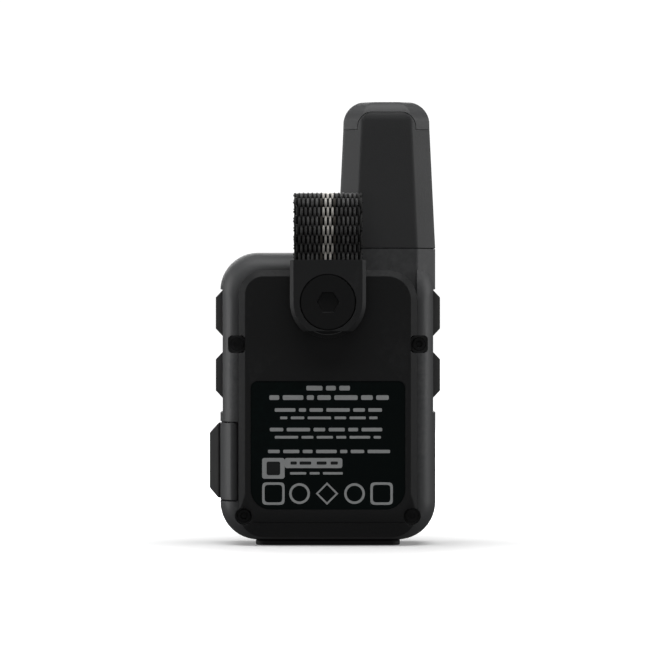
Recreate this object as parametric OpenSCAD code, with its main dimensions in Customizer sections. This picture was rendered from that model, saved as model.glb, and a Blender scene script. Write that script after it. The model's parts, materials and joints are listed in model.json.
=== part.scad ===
// A pocket satellite beacon: a two-part case with a stub antenna, side keys,
// a hinged cover over the alarm key and a webbing loop clamped to the back.
// The front faces -Y, the back faces +Y, +Z is up, and the foot stands on z = 0.

/* [Case] */
// Width of the case across its side walls
body_w = 48.2; // [46:0.1:60]
// Height of the case, from the foot's top to the case's top
body_h = 64.2; // [60:0.1:80]
// Depth of the case, from the front face to the back panel's face
body_d = 21.4; // [20:0.1:26]
// Thickness of the case walls
wall = 1.6; // [1.4:0.1:2]
// Radius of the case's corners, seen from the front
corner_r = 8.4; // [6:0.1:10]
// Place of the joint between the two case halves, along the depth
parting_y = -1; // [-2:0.1:0]
// How far the rounding of the rear edge reaches in from the side
rear_round_in = 4.3; // [3.8:0.1:4.6]
// How far the rounding of the rear edge reaches forward
rear_round_deep = 6.7; // [5:0.1:7]
// How far the rounding of the front edge reaches in
front_round_in = 2.6; // [1.5:0.1:3]
// How far the rounding of the front edge reaches back
front_round_deep = 2.5; // [1:0.1:2.5]

/* [Foot] */
// Height of the rubber foot
foot_h = 1.1; // [0.8:0.1:2]
// Width of the rubber foot
foot_w = 32.2; // [26:0.1:34]
// Depth of the rubber foot
foot_d = 13; // [10:0.1:15]

/* [Back panel] */
// How far the back panel stands proud of the rear case
panel_proud = 1.8; // [1.5:0.1:2.5]
// Width of the bevel round the back panel
panel_bevel = 1.4; // [0.8:0.1:2]
// Corner radius of the back panel
panel_r = 5.5; // [4:0.1:7]
// Corner radius of the back panel under the antenna
panel_antenna_r = 6.6; // [6:0.1:12]
// Height of the sloping chin at the foot of the back panel
chin_h = 6.9; // [5:0.1:8]
// Width of the label
label_w = 34.2; // [30:0.1:35]
// Height of the label
label_h = 28.4; // [24:0.1:29]
// Thickness of the label
label_t = 0.15; // [0.1:0.05:0.2]

/* [Antenna] */
// Place of the antenna's centre line, left of the case's middle
antenna_x = -13.1; // [-14:0.1:-11]
// Width of the antenna at its root
antenna_w = 21.8; // [18:0.1:22]
// Depth of the antenna at its root
antenna_d = 15; // [12:0.1:15]
// Height of the antenna above its root
antenna_h = 32.9; // [28:0.1:40]
// Width of the chamfers along the antenna
antenna_chamfer = 4.2; // [3:0.1:4.5]
// How much narrower the antenna is at its cap seam
antenna_taper = 2.5; // [1:0.1:3]
// Height of the cap, from its seam to the top
cap_h = 6.3; // [5:0.1:8]
// Thickness of the antenna's walls
antenna_wall = 1.5; // [1.2:0.1:2]

/* [Keys] */
// Length of each side key
key_l = 10.6; // [9:0.1:11]
// Depth of each side key, front to back
key_d = 8; // [6:0.1:8.4]
// How far a side key stands out of the side wall
key_proud = 1.1; // [0.8:0.1:1.5]
// Height of the upper side keys above the foot's underside
upper_key_z = 51.8; // [51.6:0.1:52.2]
// Height of the lower side keys above the foot's underside
lower_key_z = 37.9; // [37:0.1:38]
// How far a side key travels when it is pressed
key_travel = 0.45; // [0.3:0.05:0.5]
// How far the alarm key travels when it is pressed
alarm_travel = 0.6; // [0.4:0.05:0.6]
// Radius of the alarm key
alarm_r = 4; // [3:0.1:4.5]
// Radius of the power key
power_r = 2.6; // [2:0.1:2.8]
// How far the power key travels when it is pressed
power_travel = 0.4; // [0.3:0.05:0.4]

/* [Side covers] */
// Length of the cover over the alarm key
cover_l = 17.2; // [15:0.1:17.4]
// Height of the middle of both side covers
cover_z = 18.7; // [18:0.1:19]
// Thickness of both side covers
cover_t = 1.3; // [1.1:0.1:1.3]
// How far the grip on the cover stands out
grip_proud = 2.5; // [1.5:0.1:3]
// Radius of the cover's hinge pin
hinge_pin_r = 0.45; // [0.4:0.05:0.5]
// Length of the socket's cover
usb_cap_l = 13; // [12:0.1:14]
// Depth of the socket's cover, front to back
usb_cap_d = 6.6; // [6:0.1:7]

/* [Clip and webbing] */
// Distance of the clip screw's axis below the case's top
clip_drop = 11.2; // [11:0.1:11.3]
// Radius of the round boss that carries the clip
boss_r = 7.9; // [7:0.1:8.2]
// Height of that boss over the back panel
boss_h = 2.4; // [2.3:0.1:2.5]
// Width of the clip
clip_w = 16.8; // [16.7:0.1:17.4]
// Thickness of the clip over the boss
clip_t = 2.3; // [2.2:0.1:2.6]
// Height of the clip's upper end over the screw's axis
clip_up = 9.4; // [9.2:0.1:10]
// Width of the webbing
strap_w = 15.5; // [12:0.1:15.5]
// Thickness of one layer of webbing
strap_t = 1.3; // [1.1:0.1:1.4]
// Inner radius of the loop's round end
loop_r = 2.2; // [2.15:0.05:2.4]
// Height of the loop above the clip
loop_h = 15.1; // [14:0.1:20]

/* [Screws] */
// Distance of the upper case screws from the side walls
upper_screw_in = 3.8; // [3.7:0.1:4.1]
// Height of the upper case screws
upper_screw_z = 44.85; // [44.8:0.05:44.9]
// Distance of the lower case screws from the side walls
lower_screw_in = 5.4; // [4.9:0.1:5.6]
// Height of the lower case screws
lower_screw_z = 6.6; // [5.6:0.1:6.8]
// Width of a screw's pocket
pocket_w = 3.9; // [3.6:0.1:4]
// Radius of a case screw's shank
screw_r = 0.8; // [0.7:0.05:0.85]

/* [Hidden] */
$fn = 48;

// Clearances
free_gap = 0.3;      // between pieces that move past each other
running_gap = 0.05;  // round a pin, a shank or an insert
seam_gap = 0.1;      // between two housings that meet at a visible seam
past = 1;            // how far a cut runs past the face that it opens
leaf = 0.02;         // thickness of the thin sections that a hull joins

// Case planes
side_x = body_w / 2;
top_z = foot_h + body_h;
front_y = -body_d / 2;
back_y = body_d / 2;
case_back_y = back_y - panel_proud;
front_inner_y = front_y + wall;
inner_x = side_x - wall;
clip_z = top_z - clip_drop;
upper_screw_x = side_x - upper_screw_in;
lower_screw_x = side_x - lower_screw_in;
arc_step = 9;        // angle of one facet across the case's rounded edges
corner_steps = 12;   // facets round one corner of a skinned outline
underside_share = 0.2; // share of the edge rounding that the underside gets
foot_corner_r = 2;
side_recess = 0.6;   // depth of the shallow recess that holds the side keys
recess_below = 3;    // how far that recess runs below the lower key
recess_above = 0;    // how far it runs above the upper key
cable_hole_r = 3;    // hole for the antenna's lead in the case's top

// Back panel
panel_x = side_x - rear_round_in;
panel_top_z = top_z - 4;
panel_bottom_z = foot_h + 0.9;
chin_line_z = foot_h + 4;
chin_line_w = 0.25;
panel_edge = 0.8;    // height of the panel's upright edge, below its bevel
label_recess = 0.25;
label_bottom_z = foot_h + chin_h + 0.2;
label_corner_r = 4.4;
label_top_r = 1.5;

// Display stack, front to back
window_w = 26;
window_t = 0.8;
window_z = foot_h + 36;
gasket_t = 0.3;
ledge_w = 1.3;
panel_glass_t = 1.4;
backlight_t = 0.7;
stack_gap = 0.1;
glass_y = front_inner_y + stack_gap;
backlight_y = glass_y + panel_glass_t + stack_gap;
frame_y = backlight_y + backlight_t + stack_gap;
frame_t = 1.4;
board_y = frame_y + frame_t;
board_t = 1;
board_back_y = board_y + board_t;
board_x = side_x - 6.3;
board_z0 = foot_h + 8.4;
board_z1 = top_z - 5.3;

// Shields over the radio and the receiver
shield_in = 3.3;     // how far they stay in from the board's sides
shield_z = foot_h + 26;
shield_t = 2.6;

// Sounder
buzzer_x = 6;
buzzer_z = board_z0 + 7.6;
buzzer_r = 4.5;
buzzer_hole_r = 0.9;
buzzer_t = 2.8;

// Battery and the antenna patch over it
battery_y0 = board_back_y + 3.5;
battery_y1 = case_back_y - wall - 1.5;
battery_x = board_x - 1.3;
battery_z0 = foot_h + 9.4;
battery_z1 = clip_z - 6.8;
patch_half = 6;
patch_z = board_z1 - patch_half - 0.2;

// Keys and switches
key_y = board_back_y + 1.2;
switch_deep = 2.8;
switch_w = 5.2;
switch_t = 2.4;
plunger_r = 0.8;
plunger_l = 0.6;
switch_tip_x = board_x + 0.4;
stem_r = 1.2;
stem_x = switch_tip_x + plunger_l + free_gap + key_travel;
flange_x = inner_x - 1.1;
flange_t = 0.7;
flange_lip = 0.7;
key_end_slope = 1.8;
key_side_slope = 0.7;
power_x = side_x - 12.1;
power_flange_z = top_z - wall - 1;
power_flange_t = 0.8;
power_stem_z = board_z1 + 0.6 + plunger_l + free_gap + power_travel;
pipe_x = power_x - 6;
pipe_r = 0.75;

// Covers on the sides
cover_depth = cover_t + free_gap;
block_x = side_x - cover_depth - 1.9;
block_z0 = cover_z - cover_l / 2 - 1.3;
block_z1 = cover_z + cover_l / 2 + 1.6;
hinge_x = side_x - 3.1;
hinge_y = case_back_y - 1.5;
knuckle_r = 1.15;
trough_r = knuckle_r + free_gap;
pin_reach = 0.9;
cover_front_y = front_y + front_round_deep + 0.2;
usb_y = board_back_y + 1.6;
usb_socket_w = 9;
usb_socket_t = 3.2;
usb_plug_w = 8.2;
usb_plug_t = 3;

// Antenna: each row of the list is height above the root, loss of width, loss of depth
root_z = top_z + 0.8;
seal_t = 0.2;
antenna_top_z = root_z + antenna_h;
cap_z = antenna_top_z - cap_h;
former_r = 4.2;
former_h = 22;
former_flange_r = 4.9;
former_flange_t = 1.2;
helix_r = 0.35;
coax_r = 0.7;
arch_w = 13;
arch_h = 3.9;
arch_r = 3.5;
antenna_soft = 0.5;  // softening of the antenna's edges
antenna_top_round = 5.2;

// Clip and webbing
insert_r = 3;
insert_wall = 1.5;   // wall of the rear case round the clip's insert
insert_deep = 4.4;   // how far the insert reaches into the rear case
thread_r = 2;
head_r = 6;
head_t = 1.6;
head_gap = 0.25;     // round the head, in the clip's counterbore
hex_w = 4.3;
hex_floor = 0.6;     // thickness of the head left under its socket
boss_flat_z = clip_z + 5.5;
clip_y0 = back_y + boss_h;
clip_y1 = clip_y0 + clip_t;
clip_back_y = back_y + free_gap;
clip_cut_z = clip_z - 6.4;
clip_top_z = clip_z + clip_up;
clip_bevel = 0.8;
clip_corner_r = 0.4;
strap_y = (clip_back_y + clip_y1) / 2;
bar_r = 0.5;
bar_z = clip_top_z - 1.4;
tail_half = 1.4;
slot_gap = 0.1;
slot_floor_z = bar_z - tail_half - 0.15;
loop_z0 = clip_top_z + free_gap;
loop_top_z = clip_top_z + loop_h;

// Case screws, as [x, z] pairs
SCREWS = [
    [upper_screw_x, upper_screw_z], [-upper_screw_x, upper_screw_z],
    [lower_screw_x, lower_screw_z], [-lower_screw_x, lower_screw_z]
];
pocket_floor_y = case_back_y - 2.5;
case_boss_r = 2.1;
screw_head_r = 1.5;
screw_head_t = 1.2;
drive_r = 0.75;      // radius over the corners of a case screw's socket
drive_floor = 0.5;   // thickness of the head left under it
insert_len = 5;
case_insert_r = 1.3;
screw_tip_y = parting_y - insert_len;

// ---------------------------------------------------------------- shared shapes

// A cylinder from one depth to another, with its axis along Y.
module y_rod(x, z, r, y0, y1) {
    translate([x, y0, z]) rotate([-90, 0, 0]) cylinder(r = r, h = y1 - y0);
}

// A box given by its two opposite corners.
module box(low, high) {
    translate(low) cube([for (i = [0:2]) high[i] - low[i]]);
}

// An outline in X and Z pushed along Y from y0 to y1.
module plate(y0, y1) {
    translate([0, y1, 0]) rotate([90, 0, 0]) linear_extrude(y1 - y0) children();
}

// A rectangle with its own radius at each corner: low x low z, high x low z, high x high z, low x high z.
module rounded(x0, x1, z0, z1, radii) {
    corners = [[x0, z0], [x1, z0], [x1, z1], [x0, z1]];
    inward = [[1, 1], [-1, 1], [-1, -1], [1, -1]];
    difference() {
        translate([x0, z0]) square([x1 - x0, z1 - z0]);
        for (i = [0:3]) {
            r = radii[i];
            difference() {
                translate(corners[i] - 0.5 * inward[i]) translate([min(0, inward[i][0] * (r + 0.5)),
                    min(0, inward[i][1] * (r + 0.5))]) square(r + 0.5);
                translate(corners[i] + r * inward[i]) circle(r);
            }
        }
    }
}

// The points of a rounded rectangle, counted round its corners from the low x, low z one.
function rounded_points(x0, x1, z0, z1, radii) = let (
        corners = [[x0, z0], [x1, z0], [x1, z1], [x0, z1]],
        inward = [[1, 1], [-1, 1], [-1, -1], [1, -1]])
    [for (i = [0:3], k = [0:corner_steps])
        let (a = 180 + 90 * i + 90 * k / corner_steps)
        corners[i] + radii[i] * (inward[i] + [cos(a), sin(a)])];

// A solid skinned over rings that have the same number of points.
// Rings in X and Y go up, rings in X and Z go forward.
module skinned(rings) {
    n = len(rings);
    m = len(rings[0]);
    faces = [
        [for (k = [0:m - 1]) k],
        for (i = [0:n - 2], k = [0:m - 1])
            [i * m + k, (i + 1) * m + k, (i + 1) * m + (k + 1) % m, i * m + (k + 1) % m],
        [for (k = [m - 1:-1:0]) (n - 1) * m + k]
    ];
    polyhedron([for (r = rings) each r], faces, convexity = 6);
}

// The case's outline at one depth. The edge rounding takes less off the underside than off the other sides.
function case_ring(y, inset, rounding, r) = let (
        x = side_x - inset - rounding,
        z0 = foot_h + inset + underside_share * rounding,
        z1 = top_z - inset - rounding)
    [for (p = rounded_points(-x, x, z0, z1, [r, r, r, r])) [p[0], y, p[1]]];

// The whole case as a rounded block, set in from its outer surface by a distance.
module case_block(inset) {
    r = max(corner_r - inset, 1);
    skinned([
        for (a = [90:-arc_step:0])
            case_ring(case_back_y - rear_round_deep * (1 - sin(a)), inset, rear_round_in * (1 - cos(a)), r),
        for (a = [0:arc_step:90])
            case_ring(front_y + front_round_deep * (1 - sin(a)), inset, front_round_in * (1 - cos(a)), r)
    ]);
}

// Points of a soft bend from a to b that leans towards the corner p.
function bend(a, p, b) = [for (i = [0:4]) let (t = i / 4)
    (1 - t) * (1 - t) * a + 2 * t * (1 - t) * p + t * t * b];

// The antenna's outline at one height: a rectangle with chamfered corners and softened edges.
function antenna_ring(z, w, d, chamfer) = let (
        p1 = [w / 2, d / 2 - 0.75 * chamfer],
        p2 = [w / 2 - chamfer, d / 2],
        along = antenna_soft * unit(p2 - p1),
        corner = concat(bend(p1 - [0, antenna_soft], p1, p1 + along),
            bend(p2 - along, p2, p2 - [antenna_soft, 0])),
        m = len(corner) - 1)
    [for (p = concat(corner,
        [for (i = [m:-1:0]) [-corner[i][0], corner[i][1]]],
        [for (i = [0:m]) [-corner[i][0], -corner[i][1]]],
        [for (i = [m:-1:0]) [corner[i][0], -corner[i][1]]]))
        [antenna_x + p[0], p[1], z]];

// The antenna as a tapered block with a rounded top, set in by a distance.
module antenna_block(inset) {
    w = antenna_w - 2 * inset;
    d = antenna_d - 2 * inset;
    w1 = w - antenna_taper;
    d1 = d - 0.64 * antenna_taper;
    rise = cap_h - inset;
    skinned([
        antenna_ring(root_z + seal_t, w, d, antenna_chamfer),
        antenna_ring(cap_z, w1, d1, antenna_chamfer),
        for (a = [7.5:7.5:75]) let (loss = antenna_top_round * (1 - cos(a)))
            antenna_ring(cap_z + rise * (0.2 + 0.8 * sin(a) / sin(75)), w1 - 2 * loss, d1 - 1.6 * loss,
                antenna_chamfer - 0.35 * loss)
    ]);
}

// The part of the case that the antenna stands on.
module antenna_root() {
    skinned([for (z = [top_z - 12, root_z]) antenna_ring(z, antenna_w, antenna_d, antenna_chamfer)]);
}

// The outline of the back panel, with the large corner under the antenna.
module panel_outline(grow = 0) {
    rounded(-panel_x - grow, panel_x + grow, panel_bottom_z - grow, panel_top_z + grow,
        [panel_r, panel_r, panel_r, panel_antenna_r]);
}

// The step behind the antenna, down to the large corner of the back panel.
module antenna_scoop() {
    plate(antenna_d / 2 - 0.1, back_y + past) difference() {
        polygon([
            [antenna_x + antenna_w / 2, top_z + past], [-panel_x, top_z + past],
            [-panel_x, panel_top_z - panel_antenna_r], [0, panel_top_z - panel_antenna_r],
            [antenna_x + antenna_w / 2, panel_top_z]
        ]);
        panel_outline();
    }
}

// The pockets that sink the case screws' heads.
module screw_pockets() {
    for (s = SCREWS) {
        if (s[1] > top_z / 2)
            plate(pocket_floor_y, back_y + past) rounded(s[0] - pocket_w / 2, s[0] + pocket_w / 2,
                s[1] - pocket_w / 2, s[1] + pocket_w / 2, [0.9, 0.9, 0.9, 0.9]);
        else
            y_rod(s[0], s[1], pocket_w / 2, pocket_floor_y, back_y + past);
    }
}

// The opening for a side key, in the wall on the side given by 1 or -1.
module key_opening(side, z) {
    y = key_d / 2 + free_gap;
    l = key_l / 2 + free_gap;
    mirror([side > 0 ? 0 : 1, 0, 0]) box([inner_x - past, key_y - y, z - l], [side_x + past, key_y + y, z + l]);
}

// The seat of the alarm key's cover, with the trough for its knuckle.
module cover_seat() {
    z0 = cover_z - cover_l / 2 - free_gap;
    z1 = cover_z + cover_l / 2 + free_gap;
    difference() {
        box([hinge_x, cover_front_y - free_gap, z0], [side_x + past, case_back_y + past, z1]);
        case_block(cover_depth);
    }
    box([panel_x + 0.1, hinge_y, z0], [side_x, case_back_y + past, z1]);
    translate([hinge_x, hinge_y, z0]) cylinder(r = trough_r, h = z1 - z0);
}

// The seat of the socket's cover and the opening behind it.
module usb_seat() {
    y = usb_cap_d / 2 + free_gap;
    z = usb_cap_l / 2 + free_gap;
    box([-side_x - past, usb_y - y, cover_z - z], [-side_x + cover_depth, usb_y + y, cover_z + z]);
    box([-side_x, usb_y - usb_plug_t / 2 - free_gap, cover_z - usb_socket_w / 2 - free_gap],
        [-block_x + past, usb_y + usb_plug_t / 2 + free_gap, cover_z + usb_socket_w / 2 + free_gap]);
}

// Everything that is cut from both case halves.
module shared_cuts() {
    for (side = [-1, 1]) {
        key_opening(side, upper_key_z);
        key_opening(side, lower_key_z);
        mirror([side > 0 ? 0 : 1, 0, 0])
            box([side_x - side_recess, front_y - past, lower_key_z - key_l / 2 - recess_below],
                [side_x + past, back_y + past, upper_key_z + key_l / 2 + recess_above]);
    }
    cover_seat();
    usb_seat();
    translate([block_x - past, key_y, cover_z]) rotate([0, 90, 0]) 
        cylinder(r = alarm_r + free_gap, h = side_x - block_x + 2 * past);
    translate([antenna_x, 0, top_z - corner_r]) cylinder(r = cable_hole_r, h = corner_r + 2 * past);
}

// The hollow inside the case, which leaves solid blocks behind the two side covers.
module cavity() {
    difference() {
        intersection() {
            case_block(wall);
            box([-side_x, front_inner_y, 0], [side_x, case_back_y - wall, top_z]);
        }
        for (side = [-1, 1])
            mirror([side > 0 ? 0 : 1, 0, 0]) {
                box([block_x, front_y, block_z0], [side_x, back_y, block_z1]);
                box([hinge_x - 2.4, hinge_y - 2.6, block_z0], [side_x, back_y, block_z1]);
            }
        for (s = SCREWS) y_rod(s[0], s[1], case_boss_r, front_y, back_y);
        y_rod(0, clip_z, insert_r + insert_wall, case_back_y - insert_deep - 1, back_y);
    }
}

// ---------------------------------------------------------------- case

module front_case() {
    color("#1b1c1f") difference() {
        intersection() {
            union() {
                case_block(0);
                antenna_root();
            }
            box([-2 * side_x, front_y - past, -past], [2 * side_x, parting_y, 2 * top_z]);
        }
        cavity();
        shared_cuts();
        box([-window_w / 2 - seam_gap, front_y - past, window_z - window_w / 2 - seam_gap],
            [window_w / 2 + seam_gap, front_y + window_t + gasket_t, window_z + window_w / 2 + seam_gap]);
        box([-window_w / 2 + ledge_w, front_y, window_z - window_w / 2 + ledge_w],
            [window_w / 2 - ledge_w, front_inner_y + past, window_z + window_w / 2 - ledge_w]);
        for (s = SCREWS) y_rod(s[0], s[1], case_insert_r + running_gap, screw_tip_y, parting_y + past);
        translate([power_x, key_y, top_z - wall - past]) cylinder(r = power_r + free_gap, h = wall + 2 * past);
        translate([pipe_x, key_y, top_z - wall - past]) cylinder(r = pipe_r + running_gap, h = wall + 2 * past);
    }
}

module rear_case() {
    z0 = cover_z - cover_l / 2 - free_gap - pin_reach;
    color("#484a4d") difference() {
        intersection() {
            union() {
                difference() {
                    case_block(0);
                    antenna_scoop();
                }
                antenna_root();
            }
            box([-2 * side_x, parting_y, -past], [2 * side_x, back_y, 2 * top_z]);
        }
        cavity();
        shared_cuts();
        screw_pockets();
        for (s = SCREWS) y_rod(s[0], s[1], screw_r + 3 * running_gap, parting_y - past, back_y);
        y_rod(0, clip_z, insert_r + running_gap, case_back_y - insert_deep, back_y);
        translate([hinge_x, hinge_y, z0])
            cylinder(r = hinge_pin_r + running_gap, h = cover_l + 2 * (free_gap + pin_reach));
        translate([power_x, key_y, top_z - wall - past]) cylinder(r = power_r + free_gap, h = wall + 2 * past);
    }
}

function panel_ring(y, x0, x1, z0, z1, radii) =
    [for (p = rounded_points(x0, x1, z0, z1, radii)) [p[0], y, p[1]]];

module rear_panel() {
    flat = panel_bevel;
    radii = [panel_r, panel_r, panel_r, panel_antenna_r];
    inner = [for (r = radii) r - flat];
    color("#1a1b1d") difference() {
        union() {
            skinned([
                panel_ring(back_y, -panel_x + flat, panel_x - flat, foot_h + chin_h, panel_top_z - flat, inner),
                panel_ring(case_back_y + panel_edge, -panel_x, panel_x, panel_bottom_z, panel_top_z, radii),
                panel_ring(case_back_y, -panel_x, panel_x, panel_bottom_z, panel_top_z, radii)
            ]);
            difference() {
                y_rod(0, clip_z, boss_r, back_y - 0.5, clip_y0);
                box([-side_x, back_y, boss_flat_z], [side_x, clip_y0 + past, top_z]);
            }
        }
        screw_pockets();
        y_rod(0, clip_z, insert_r + running_gap, case_back_y - past, clip_y0 + past);
        box([-side_x, case_back_y + 1.1, chin_line_z], [side_x, back_y, chin_line_z + chin_line_w]);
        plate(back_y - label_recess, back_y + past) label_outline(seam_gap);
    }
}

module label_outline(grow) {
    rounded(-label_w / 2 - grow, label_w / 2 + grow, label_bottom_z - grow, label_bottom_z + label_h + grow,
        [label_corner_r, label_corner_r, label_top_r, label_top_r]);
}

module rear_label() {
    color("#0a0f10") plate(back_y - label_recess, back_y - label_recess + label_t) label_outline(0);
}

module foot_pad() {
    color("#2b2c2e") linear_extrude(foot_h)
        rounded(-foot_w / 2, foot_w / 2, -foot_d / 2, foot_d / 2, [for (i = [0:3]) foot_corner_r]);
}

module case_screw(i) {
    s = SCREWS[i - 1];
    color("#2a2a2c") difference() {
        union() {
            y_rod(s[0], s[1], screw_head_r, pocket_floor_y, pocket_floor_y + screw_head_t);
            y_rod(s[0], s[1], screw_r, screw_tip_y + 0.3, pocket_floor_y + 0.1);
        }
        y_rod(s[0], s[1], drive_r, pocket_floor_y + drive_floor, back_y, $fn = 6);
    }
}

module case_insert(i) {
    s = SCREWS[i - 1];
    color("#b08d3e") difference() {
        y_rod(s[0], s[1], case_insert_r, screw_tip_y, parting_y - 0.2);
        y_rod(s[0], s[1], screw_r + running_gap, screw_tip_y - past, parting_y + past);
    }
}

// ---------------------------------------------------------------- display and electronics

module display_window() {
    h = window_w / 2;
    color("#0b0c0e") plate(front_y, front_y + window_t)
        rounded(-h, h, window_z - h, window_z + h, [0.6, 0.6, 0.6, 0.6]);
}

module window_gasket() {
    h = window_w / 2;
    y = front_y + window_t;
    color("#151515") difference() {
        box([-h, y, window_z - h], [h, y + gasket_t, window_z + h]);
        box([-h + ledge_w, y - past, window_z - h + ledge_w], [h - ledge_w, y + past, window_z + h - ledge_w]);
    }
}

module display_panel() {
    h = window_w / 2;
    color("#7f8c84") box([-h + 0.3, glass_y, window_z - h - 1.5],
        [h - 0.3, glass_y + panel_glass_t, window_z + h]);
}

module display_backlight() {
    h = window_w / 2 - 0.8;
    color("#e6e6df") box([-h, backlight_y, window_z - h], [h, backlight_y + backlight_t, window_z + h]);
}

module display_flex() {
    z = window_z - window_w / 2 - 1.5;
    color("#a8702a") union() {
        box([-5, glass_y + 0.4, z - 0.2], [5, board_y, z]);
        box([-5, board_y - 0.2, z - 3], [5, board_y, z - 0.2]);
    }
}

module inner_frame() {
    z = window_z - window_w / 2;
    color("#3c4044") difference() {
        plate(frame_y, board_y) rounded(-board_x, board_x, board_z0, board_z1, [4, 4, 4, 4]);
        box([-5.5, frame_y - past, z - 5], [5.5, board_y + past, z - 1.2]);
        for (i = [-1, 1]) box([i * 9 - 4, frame_y - past, board_z0 + 3], [i * 9 + 4, board_y + past, z - 7]);
        box([-board_x + 6, frame_y - past, z + 2], [board_x - 6, board_y + past, z + window_w - 2]);
    }
}

module main_board() {
    color("#1d5a3a") plate(board_y, board_back_y) rounded(-board_x, board_x, board_z0, board_z1, [4, 4, 4, 4]);
}

// A folded metal lid, open towards the board.
module shield_can(x0, x1, z0, z1, h) {
    t = 0.3;
    color("#b9bdc2") difference() {
        box([x0, board_back_y, z0], [x1, board_back_y + h, z1]);
        box([x0 + t, board_back_y - past, z0 + t], [x1 - t, board_back_y + h - t, z1 - t]);
    }
}

module radio_shield() {
    shield_can(-board_x + shield_in, 3.5, shield_z, shield_z + 19, shield_t);
}

module gps_shield() {
    shield_can(5, board_x - shield_in, shield_z, shield_z + 16, shield_t);
}

module gps_patch() {
    x = -2;
    z = patch_z;
    foil = patch_half - 1.2;
    color("#d9c9a3") union() {
        box([x - patch_half, board_back_y, z - patch_half], [x + patch_half, board_back_y + 3.6, z + patch_half]);
        box([x - foil, board_back_y + 3.6, z - foil], [x + foil, board_back_y + 3.8, z + foil]);
    }
}

module buzzer() {
    color("#17181a") difference() {
        y_rod(buzzer_x, buzzer_z, buzzer_r, board_back_y, board_back_y + buzzer_t);
        y_rod(buzzer_x, buzzer_z, buzzer_hole_r, board_back_y + buzzer_t - 1, board_back_y + buzzer_t + past);
    }
}

module battery() {
    color("#9aa3ad") plate(battery_y0, battery_y1)
        rounded(-battery_x, battery_x, battery_z0, battery_z1, [1.5, 1.5, 1.5, 1.5]);
}

module battery_pad() {
    color("#232323") box([-battery_x + 3, battery_y1, battery_z0 + 4],
        [battery_x - 3, case_back_y - wall, battery_z1 - 4]);
}

module usb_socket() {
    x = -side_x + cover_depth + 1.4;
    w = usb_socket_w / 2;
    t = 0.3;
    y0 = usb_y - usb_socket_t / 2;
    color("#c3c6ca") union() {
        difference() {
            box([x, y0, cover_z - w], [x + 7.2, y0 + usb_socket_t, cover_z + w]);
            box([x - past, y0 + t, cover_z - w + t], [x + 6.4, y0 + usb_socket_t - t, cover_z + w - t]);
        }
        box([x + 1, usb_y - 0.35, cover_z - 3.3], [x + 6.6, usb_y + 0.35, cover_z + 3.3]);
    }
}

module status_light_pipe() {
    color("#e8f0e4") translate([pipe_x, key_y, board_z1 + 0.2])
        cylinder(r = pipe_r, h = top_z - 0.05 - board_z1 - 0.2);
}

// ---------------------------------------------------------------- swept leads

function unit(v) = v / norm(v);

// The direction of travel at each point of a route.
function heading(route, i) =
    unit(route[min(i + 1, len(route) - 1)] - route[max(i - 1, 0)]);

// One ring of the tube, square to the heading.
function ring(centre, dir, r, sides) =
    let (up = abs(dir[2]) < 0.9 ? [0, 0, 1] : [1, 0, 0], u = unit(cross(dir, up)), v = cross(dir, u))
    [for (k = [0:sides - 1]) centre + r * (cos(360 * k / sides) * u + sin(360 * k / sides) * v)];

// A closed tube of a radius along a list of points.
module swept_tube(route, r, sides) {
    n = len(route);
    points = [for (i = [0:n - 1]) each ring(route[i], heading(route, i), r, sides)];
    faces = [
        [for (k = [sides - 1:-1:0]) k],
        for (i = [0:n - 2], k = [0:sides - 1])
            [i * sides + k, i * sides + (k + 1) % sides,
             (i + 1) * sides + (k + 1) % sides, (i + 1) * sides + k],
        [for (k = [0:sides - 1]) (n - 1) * sides + k]
    ];
    polyhedron(points, faces, convexity = 4);
}

// A quarter turn from one heading to the next, as points of an arc.
function quarter(centre, from, to) =
    [for (a = [0:15:90]) centre + cos(a) * from + sin(a) * to];

module battery_lead() {
    x = 9;
    bend = 1.5;
    y = battery_y0 + 1.2;
    z = battery_z1;
    route = concat([[x, y, z]],
        quarter([x, y - bend, z + 1], [0, bend, 0], [0, 0, bend]),
        [[x, board_back_y, z + 1 + bend]]);
    color("#b3261e") swept_tube(route, 0.5, 8);
}

module antenna_coax() {
    z0 = board_z1 - 3;
    y0 = board_back_y + coax_r;
    bend = 5;
    route = concat([[antenna_x, y0, z0]],
        [for (i = [0:8]) [antenna_x, y0 * (1 + cos(180 * i / 8)) / 2, z0 + 1 + bend * i / 8]],
        [[antenna_x, 0, root_z + seal_t + 0.1]]);
    color("#8a5a2b") swept_tube(route, coax_r, 8);
}

// ---------------------------------------------------------------- switches and keys

// A side-pushed switch whose plunger points along +X from its face at x = 0.
module side_switch() {
    color("#55585c") union() {
        translate([-switch_deep, -switch_t / 2, -switch_w / 2]) cube([switch_deep, switch_t, switch_w]);
        rotate([0, 90, 0]) cylinder(r = plunger_r, h = plunger_l);
    }
}

module edge_switch(side, z) {
    mirror([side > 0 ? 0 : 1, 0, 0]) translate([switch_tip_x, key_y, z]) side_switch();
}

module switch_power() {
    translate([power_x, key_y, board_z1 + 0.6]) rotate([0, -90, 0]) side_switch();
}

// A rubber-faced key in the side wall, with a retaining lip front and back and a stem.
module side_key(side, z, shade) {
    l = key_l / 2;
    d = key_d / 2;
    x1 = side_x + key_proud;
    lip_l = l - 1;
    color(shade) mirror([side > 0 ? 0 : 1, 0, 0]) union() {
        hull() {
            box([flange_x + flange_t - 0.1, key_y - d, z - l], [side_x - side_recess, key_y + d, z + l]);
            box([x1 - leaf, key_y - d + key_side_slope, z - l + key_end_slope],
                [x1, key_y + d - key_side_slope, z + l - key_end_slope]);
        }
        box([flange_x, key_y - d - flange_lip, z - lip_l],
            [flange_x + flange_t, key_y + d + flange_lip, z + lip_l]);
        translate([stem_x, key_y, z]) rotate([0, 90, 0]) cylinder(r = stem_r, h = flange_x - stem_x + 0.2);
    }
}

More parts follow.
